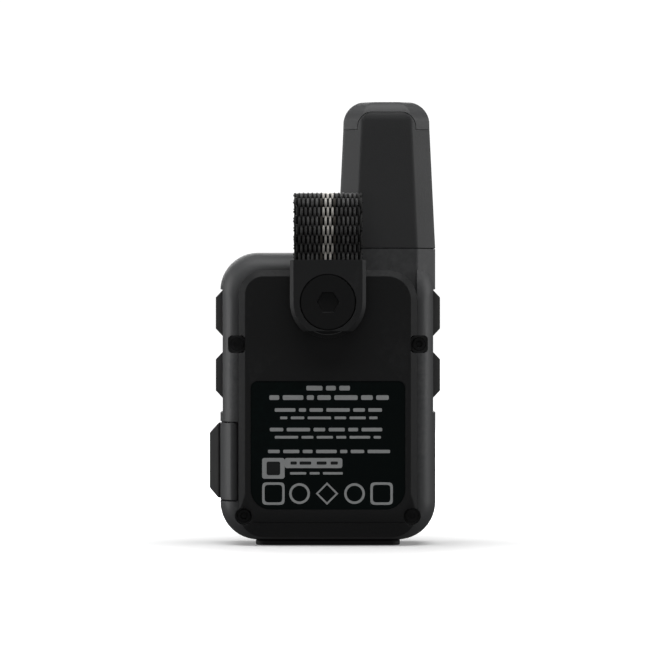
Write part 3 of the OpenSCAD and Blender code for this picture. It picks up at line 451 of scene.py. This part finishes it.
def addYarnData(piece, length, tone, sides=yarnSides):
    # the yarn's own map: length along it in millimetres, share of a turn round it; and one tone per point,
    # which on the warp also carries painted shade where a yarn dips under a weft
    count, steps = length.shape
    r, c = np.meshgrid(np.arange(steps - 1), np.arange(sides), indexing="ij")
    rows = np.stack([r, r, r + 1, r + 1], axis=-1).reshape(-1)
    turns = np.stack([c, c + 1, c + 1, c], axis=-1).reshape(-1) / sides
    uv = []
    for path in range(count):
        sideUv = np.stack([length[path][rows] / mm + 7.3 * path, turns], axis=-1)
        uv += [sideUv, np.zeros((2 * sides, 2))]
    layer = piece.data.uv_layers.new(name="yarn")
    layer.data.foreach_set("uv", np.concatenate(uv).astype(np.float32).reshape(-1))
    attribute = piece.data.attributes.new("yarnToneAndPaintedShade", "FLOAT", "POINT")
    attribute.data.foreach_set("value", np.repeat(tone.astype(np.float32).reshape(-1), sides))


# lengths in millimetres. The sway of a warp yarn is a chance part and a slow wave, the edge yarns lie lower and
# closer, and the bend is half the length of path over which the webbing turns about the clip's bar
webbing = {
    "thick": 1.3, "warpYarns": 31, "tracerReach": 2, "weftPitch": 2.07, "overRowZ": 69.9, "rise": 0.33,
    "yarnHalfWide": 0.26, "yarnHalfThick": 0.19, "weftHalfWide": 1.0, "weftHalfThick": 0.15, "seed": 11,
    "swayChance": 0.018, "swayWave": 0.02, "swayLength": 3.1, "edgeDraw": 0.012, "edgeSink": 0.25,
    "pathSteps": 260, "weftSteps": 25, "sideSteps": 600, "endSteps": 400, "tailStart": 0.3, "belowRound": 4,
    "bend": 0.9,
}


def teardropPath(steps):
    # up one side, round the end and down the other. The half gap opens by a smooth step of the height, the
    # end is a half circle, and the points are spaced evenly along the length
    low, high = (np.array(corner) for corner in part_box("strap_loop"))
    tailLow, tailHigh = (np.array(corner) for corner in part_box("strap_tail"))
    halfThick = webbing["thick"] / 2 * mm
    middle = (low[1] + high[1]) / 2
    far = (high[1] - low[1]) / 2 - halfThick
    near = (tailHigh[1] - tailLow[1]) / 2 - halfThick
    roundZ = high[2] - halfThick - far
    side = webbing["sideSteps"]
    z = np.linspace(tailLow[2] + webbing["tailStart"] * mm, roundZ, side)
    share = np.clip((z - low[2]) / (roundZ - webbing["belowRound"] * mm - low[2]), 0, 1)
    gap = near + (far - near) * share * share * (3 - 2 * share)
    angle = np.linspace(0, math.pi, webbing["endSteps"])[1:-1]
    y = middle + np.concatenate([gap, far * np.cos(angle), -gap[::-1]])
    z = np.concatenate([z, roundZ + far * np.sin(angle), z[::-1]])
    run = np.concatenate([[0], np.cumsum(np.hypot(np.diff(y), np.diff(z)))])
    even = np.linspace(0, run[-1], steps)
    overRun = np.interp(webbing["overRowZ"] * mm, z[:side], run[:side])
    y, z = np.interp(even, run, y), np.interp(even, run, z)
    slope = np.stack([np.zeros(steps), np.gradient(y, even), np.gradient(z, even)], axis=-1)
    slope /= np.linalg.norm(slope, axis=1)[:, None]
    outward = np.stack([np.zeros(steps), slope[:, 2], -slope[:, 1]], axis=-1)
    return even, np.stack([np.zeros(steps), y, z], axis=-1), slope, outward, overRun


def addWebbing():
    # plain weave: every warp yarn rises over one weft and dips under the next, and its neighbours do the
    # opposite. Its height is a flattened cosine of the length, with one weft pitch for each half turn
    rng = np.random.default_rng(webbing["seed"])
    run, route, slope, outward, overRun = teardropPath(webbing["pathSteps"])
    low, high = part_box("strap_loop")
    width = high[0] - low[0]
    count = webbing["warpYarns"]
    pitch = (width - 0.3 * mm) / count
    order = np.arange(count) - (count - 1) // 2
    turn = math.pi * (run[None, :] - overRun) / (webbing["weftPitch"] * mm) + math.pi * (order[:, None] % 2)
    over = np.tanh(1.2 * np.cos(turn)) / math.tanh(1.2)
    edge = np.clip((np.abs(order) - (count // 2 - 3)) / 2, 0, 1)[:, None]
    sway = rng.normal(0, webbing["swayChance"], (count, 1))
    phase = rng.uniform(0, 6.3, (count, 1))
    sway = sway + webbing["swayWave"] * np.sin(run[None, :] / (webbing["swayLength"] * mm) + phase)
    x = order[:, None] * pitch * (1 - webbing["edgeDraw"] * edge) + sway * mm
    height = webbing["rise"] * mm * over * (1 - webbing["edgeSink"] * edge)
    centre = route[None] + outward[None] * height[..., None]
    centre[..., 0] = x
    acrossX = np.broadcast_to(np.array([1.0, 0, 0]), centre.shape)
    up = np.broadcast_to(outward[None], centre.shape)
    halfWide = webbing["yarnHalfWide"] * mm * (0.84 + 0.16 * over)
    halfThick = webbing["yarnHalfThick"] * mm * (1.0 - 0.1 * over)
    points, faces = carriedTubes(centre, acrossX, up, halfWide, halfThick)
    warp = addMesh("webbing_warp", points, faces)
    # a random tone for each yarn, darker at the two edges, times painted shade that deepens as the yarn dips
    # under a weft and is lightest on its crest
    tone = rng.uniform(0.55, 1.0, (count, 1)) * (1 - 0.75 * edge) * (0.6 + 0.4 * over)
    addYarnData(warp, np.broadcast_to(run[None], over.shape), tone)
    for finish in ("yarnBlack", "yarnCream", "yarnTaupe"):
        warp.data.materials.append(materials[finish])
    reach = np.abs(order)
    kind = np.where(reach <= webbing["tracerReach"], 1, np.where(reach == webbing["tracerReach"] + 1, 2, 0))
    warp.data.polygons.foreach_set("material_index", np.repeat(kind, len(faces) // count).tolist())

    # wefts lie square to the path at every crossing row, and close to a rounded end outside the last yarn.
    # Their near-black colour is partly the weft's own and partly painted shade for the holes between the warp
    # yarns
    first = overRun - webbing["weftPitch"] * mm * math.floor(overRun / (webbing["weftPitch"] * mm))
    rows = np.arange(first, run[-1], webbing["weftPitch"] * mm)
    steps = webbing["weftSteps"]
    share = np.sin(np.linspace(-1, 1, steps) * math.pi / 2)
    half = width / 2 * (1 - rng.uniform(0, 0.015, (len(rows), 1)))
    at = np.stack([np.interp(rows, run, route[:, axis]) for axis in range(3)], axis=-1)
    along = np.stack([np.interp(rows, run, slope[:, axis]) for axis in range(3)], axis=-1)
    out = np.stack([np.interp(rows, run, outward[:, axis]) for axis in range(3)], axis=-1)
    shape = (len(rows), steps, 3)
    centre = np.broadcast_to(at[:, None], shape).copy()
    centre[..., 0] = half * share[None]
    taper = np.maximum(1 - np.abs(share) ** 14, 0.12)[None]
    eachRow = np.ones((len(rows), 1))
    halfWide = webbing["weftHalfWide"] * mm * taper * eachRow
    halfThick = webbing["weftHalfThick"] * mm * (0.5 + 0.5 * taper) * eachRow
    acrossRow = np.broadcast_to(-along[:, None], shape)
    up = np.broadcast_to(out[:, None], shape)
    points, faces = carriedTubes(centre, acrossRow, up, halfWide, halfThick)
    weft = addMesh("webbing_weft", points, faces)
    tone = rng.uniform(0.5, 1.0, (len(rows), 1)) * np.ones(steps)
    addYarnData(weft, np.broadcast_to(centre[..., 0], shape[:2]), tone)
    weft.data.materials.append(materials["weftBlackAndHoleShade"])

    for piece in (warp, weft):
        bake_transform(piece)
    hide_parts("strap_loop", "strap_tail")


addWebbing()
print("webbing woven")


def raisedShapes(name, outlines, y0, y1):
    # many flat shapes with the same number of outline points, each pushed from one depth to the other
    count, sides = outlines.shape[:2]
    points = np.zeros((count, 2, sides, 3))
    points[..., 0] = outlines[:, None, :, 0]
    points[..., 2] = outlines[:, None, :, 1]
    points[:, 0, :, 1] = y0
    points[:, 1, :, 1] = y1
    quads = gridFaces(2, sides)
    faces = []
    for shape in range(count):
        first = shape * 2 * sides
        faces += (quads + first).tolist()
        faces.append(list(range(first + sides - 1, first - 1, -1)))
        faces.append(list(range(first + sides, first + 2 * sides)))
    return addMesh(name, points.reshape(-1, 3), faces, smooth=False)


cornerSteps = 5


def roundedBars(middleX, middleZ, length, height, radius):
    # a quarter circle at each corner: the corner's centre, plus the radius times the cosine and the sine
    quarter = np.linspace(0, math.pi / 2, cornerSteps)
    angle = np.concatenate([quarter + corner * math.pi / 2 for corner in range(4)])
    signX = np.repeat([1, -1, -1, 1], cornerSteps)
    signZ = np.repeat([1, 1, -1, -1], cornerSteps)
    middleX, middleZ, length, height, radius = (np.asarray(v, float)[:, None] for v in
                                                (middleX, middleZ, length, height, radius))
    x = middleX + signX * (length / 2 - radius) + radius * np.cos(angle)
    z = middleZ + signZ * (height / 2 - radius) + radius * np.sin(angle)
    return np.stack([x, z], axis=-1) * mm


# print on the label, as plain bars and shapes in millimetres: each row is its height, its two ends and the
# thickness of its bars, and each mark its place, its radius and its power
labelPrint = {
    "rows": [(35.1, -4.8, 4.9, 1.05), (33.0, -13.0, 13.5, 1.05), (30.25, -11.8, 12.0, 0.8),
             (28.5, -10.6, 11.0, 0.6), (25.9, -12.9, 13.0, 0.8), (24.2, -11.8, 12.2, 0.6),
             (21.05, -13.3, 13.8, 0.75)],
    "smallRow": (16.2, -8.4, 3.3, 0.55),
    "wordLengths": (3.6, 2.2, 4.6, 1.6, 3.0, 5.2, 2.6), "wordGap": 0.75,
    "plate": (-9.6, 3.2, 17.35, 19.6), "plateSquare": (-14.6, -9.6, 15.0, 19.6), "relief": 0.02,
    "darkBars": [(-7.6, 1.4), (-5.0, 2.6), (-1.4, 2.2), (1.4, 1.6)], "darkThick": 0.7,
    "marks": [(-12.1, 2.5, 7.0), (-6.3, 2.3, 2.0), (-0.2, 2.5, 1.0), (5.9, 2.3, 2.0), (11.9, 2.5, 7.0)],
    "marksZ": 11.7, "markLine": 0.55, "markSteps": 48, "darkLift": 1.6,
}


def wordBars(rows):
    # words of set lengths fill a row from end to end, with even gaps, and the last one is cut to fit
    bars = []
    for number, (z, start, end, thick) in enumerate(rows):
        x = start
        word = number
        while x < end - 0.8:
            length = min(labelPrint["wordLengths"][word % len(labelPrint["wordLengths"])], end - x)
            bars.append((x + length / 2, z, length, thick, thick * 0.3))
            x += length + labelPrint["wordGap"]
            word += 1
    return bars


def addLabelPrint():
    low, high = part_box("rear_label")
    face = high[1]
    relief = labelPrint["relief"] * mm
    bars = wordBars(labelPrint["rows"] + [labelPrint["smallRow"]])
    for x0, x1, z0, z1 in (labelPrint["plate"], labelPrint["plateSquare"]):
        bars.append(((x0 + x1) / 2, (z0 + z1) / 2, x1 - x0, z1 - z0, 0.5))
    middleX, middleZ, length, height, radius = (np.array(column) for column in zip(*bars))
    # seen from behind, the label's left is +X
    outlines = roundedBars(-middleX, middleZ, length, height, radius)
    pale = raisedShapes("label_print", outlines, face - relief, face + relief)
    pale.data.materials.append(materials["printGrey"])

    x0, x1, z0, z1 = labelPrint["plateSquare"]
    stripZ = sum(labelPrint["plate"][2:]) / 2
    dark = [((x0 + x1) / 2, (z0 + z1) / 2, 3.0, 3.0, 0.4)]
    dark += [(x, stripZ, length, labelPrint["darkThick"], 0.2) for x, length in labelPrint["darkBars"]]
    middleX, middleZ, length, height, radius = (np.array(column) for column in zip(*dark))
    outlines = roundedBars(-middleX, middleZ, length, height, radius)
    over = raisedShapes("label_print_dark", outlines, face, face + labelPrint["darkLift"] * relief)
    over.data.materials.append(materials["printDark"])

    # each mark is a ring whose radius follows a superellipse: a power of 2 is round, 7 squarish, 1 a diamond
    steps = labelPrint["markSteps"]
    angle = np.arange(steps) * 2 * math.pi / steps
    rings = []
    for x, radius, power in labelPrint["marks"]:
        reach = (np.abs(np.cos(angle)) ** power + np.abs(np.sin(angle)) ** power) ** (-1 / power)
        for size in (radius, radius - labelPrint["markLine"]):
            rings.append(np.stack([-x + size * reach * np.cos(angle),
                                   labelPrint["marksZ"] + size * reach * np.sin(angle)], axis=-1))
    rings = np.array(rings).reshape(len(labelPrint["marks"]), 2, steps, 2) * mm
    # inner edge up, across the top and down the outer edge, back under: a closed loop carried round the ring
    loop = np.stack([rings[:, 1], rings[:, 0], rings[:, 0], rings[:, 1]], axis=1)
    depth = np.array([face + relief, face + relief, face - relief, face - relief])
    points = np.zeros(loop.shape[:3] + (3,))
    points[..., 0] = loop[..., 0]
    points[..., 2] = loop[..., 1]
    points[..., 1] = depth[None, :, None]
    r, c = np.meshgrid(np.arange(4), np.arange(steps), indexing="ij")
    here, after = r * steps, (r + 1) % 4 * steps
    across = (c + 1) % steps
    quads = np.stack([here + c, here + across, after + across, after + c], axis=-1).reshape(-1, 4)
    faces = np.concatenate([quads + shape * 4 * steps for shape in range(len(rings))]).tolist()
    marks = addMesh("label_marks", points.reshape(-1, 3), faces, smooth=False)
    marks.data.materials.append(materials["printGrey"])

    for piece in (pale, over, marks):
        turnFacesOutward(piece)
        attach(piece, "device")


addLabelPrint()
print("label printed")


# lengths in millimetres, and the arc's reach in degrees to each side of straight down
rim = {"radius": 7.9, "bevel": 0.75, "drop": 0.7, "lift": 0.02, "reach": 52.0, "steps": 60}


def addBossRim():
    # a bevelled arc round the lower edge of the round boss: each point lies at a radius and a depth taken from
    # the rim's section, turned about the screw's axis from one end of the arc to the other
    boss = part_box("rear_panel")[1][1]
    low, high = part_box("clip_screw")
    axisX, axisZ = (low[0] + high[0]) / 2, (low[2] + high[2]) / 2
    outer, inner = rim["radius"] * mm, (rim["radius"] - rim["bevel"]) * mm
    radii = np.array([outer + 0.01 * mm, outer + 0.01 * mm, inner, inner - 0.1 * mm, inner - 0.1 * mm])
    depths = boss + np.array([-rim["drop"] - 0.1, -rim["drop"], rim["lift"], rim["lift"], -0.1]) * mm
    angle = np.radians(np.linspace(-90 - rim["reach"], -90 + rim["reach"], rim["steps"]))
    points = np.zeros((rim["steps"], 5, 3))
    points[..., 0] = axisX + radii[None] * np.cos(angle)[:, None]
    points[..., 2] = axisZ + radii[None] * np.sin(angle)[:, None]
    points[..., 1] = depths[None]
    last = 5 * rim["steps"] - 5
    faces = gridFaces(rim["steps"], 5).tolist() + [[4, 3, 2, 1, 0], list(range(last, last + 5))]
    piece = addMesh("boss_rim", points.reshape(-1, 3), faces, smooth=False)
    turnFacesOutward(piece)
    # black plastic in a pale finish: a painted highlight for light thrown up from the floor onto the rim
    piece.data.materials.append(materials["rimPaintedBounceLight"])
    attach(piece, "device")


addBossRim()
print("boss rim added")


# lengths in metres and power in watts: each box has its name, its place, its size and its power
studio = {
    "target": (0, 0, 0.045), "ambient": 0.07, "floorReach": 6.0, "floorTone": 0.9,
    "glowDistance": (0.03, 0.14), "glow": (0.15, 1.1),
    "boxes": [("top_box", (0.0, 0.12, 0.8), (0.9, 0.7), 5.2),
              ("left_box", (0.75, -0.02, 0.14), (0.4, 0.6), 3.4),
              ("right_box", (-0.75, 0.03, 0.14), (0.4, 0.6), 2.9),
              ("low_box", (0.0, 0.7, 0.035), (0.7, 0.06), 0.24),
              ("front_box", (0.15, -0.75, 0.35), (0.6, 0.4), 2.4)],
}


def addFloor():
    # a pale floor that is white far off and takes the contact shadow near the object
    reach = studio["floorReach"]
    points = np.array([[-reach, -reach, 0], [reach, -reach, 0], [reach, reach, 0], [-reach, reach, 0]])
    floor = addMesh("studio_floor", points, [[0, 1, 2, 3]], smooth=False)
    material = bpy.data.materials.new("studioFloor")
    material.use_nodes = True
    tree = material.node_tree
    shader = tree.nodes["Principled BSDF"]
    shader.inputs["Base Color"].default_value = (studio["floorTone"],) * 3 + (1,)
    shader.inputs["Roughness"].default_value = 0.9
    shader.inputs["Specular IOR Level"].default_value = 0.0
    shader.inputs["Emission Color"].default_value = (1, 1, 1, 1)
    distance = tree.nodes.new("ShaderNodeVectorMath")
    distance.operation = "LENGTH"
    tree.links.new(tree.nodes.new("ShaderNodeTexCoord").outputs["Object"], distance.inputs[0])
    glow = rangeNode(tree, distance.outputs["Value"], *studio["glowDistance"], *studio["glow"])
    tree.links.new(glow, shader.inputs["Emission Strength"])
    floor.data.materials.append(material)
    floor.visible_glossy = False
    floor.visible_diffuse = False


def addSoftbox(name, place, target, size, power):
    light = bpy.data.lights.new(name, "AREA")
    light.shape = "RECTANGLE"
    light.size, light.size_y = size
    light.energy = power
    lamp = bpy.data.objects.new(name, light)
    lamp.location = place
    lamp.rotation_euler = (Vector(target) - Vector(place)).to_track_quat("-Z", "Y").to_euler()
    bpy.context.scene.collection.objects.link(lamp)


addFloor()
for name, place, size, power in studio["boxes"]:
    addSoftbox(name, place, studio["target"], size, power)
world = bpy.data.worlds.new("studioWorld")
world.use_nodes = True
bpy.context.scene.world = world
lightPath = world.node_tree.nodes.new("ShaderNodeLightPath")
strength = mathNode(world.node_tree, "MULTIPLY_ADD", lightPath.outputs["Is Camera Ray"], 1.0, studio["ambient"])
world.node_tree.links.new(strength, world.node_tree.nodes["Background"].inputs["Strength"])
world.node_tree.nodes["Background"].inputs["Color"].default_value = (1, 1, 1, 1)
bpy.context.scene.view_settings.view_transform = "Standard"

# the camera looks level at the back from far off, so the picture is almost without perspective
shot = {"width": 0.1445, "middleX": 0.00065, "middleZ": 0.0491, "lens": 200.0, "sensor": 36.0}
camera = bpy.data.objects.new("camera", bpy.data.cameras.new("camera"))
camera.data.lens = shot["lens"]
camera.data.sensor_width = shot["sensor"]
away = shot["width"] * shot["lens"] / camera.data.sensor_width
camera.location = (shot["middleX"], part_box("rear_panel")[0][1] + away, shot["middleZ"])
camera.rotation_euler = (math.radians(90), 0, math.radians(180))
bpy.context.scene.collection.objects.link(camera)
bpy.context.scene.camera = camera
print("studio and camera ready")
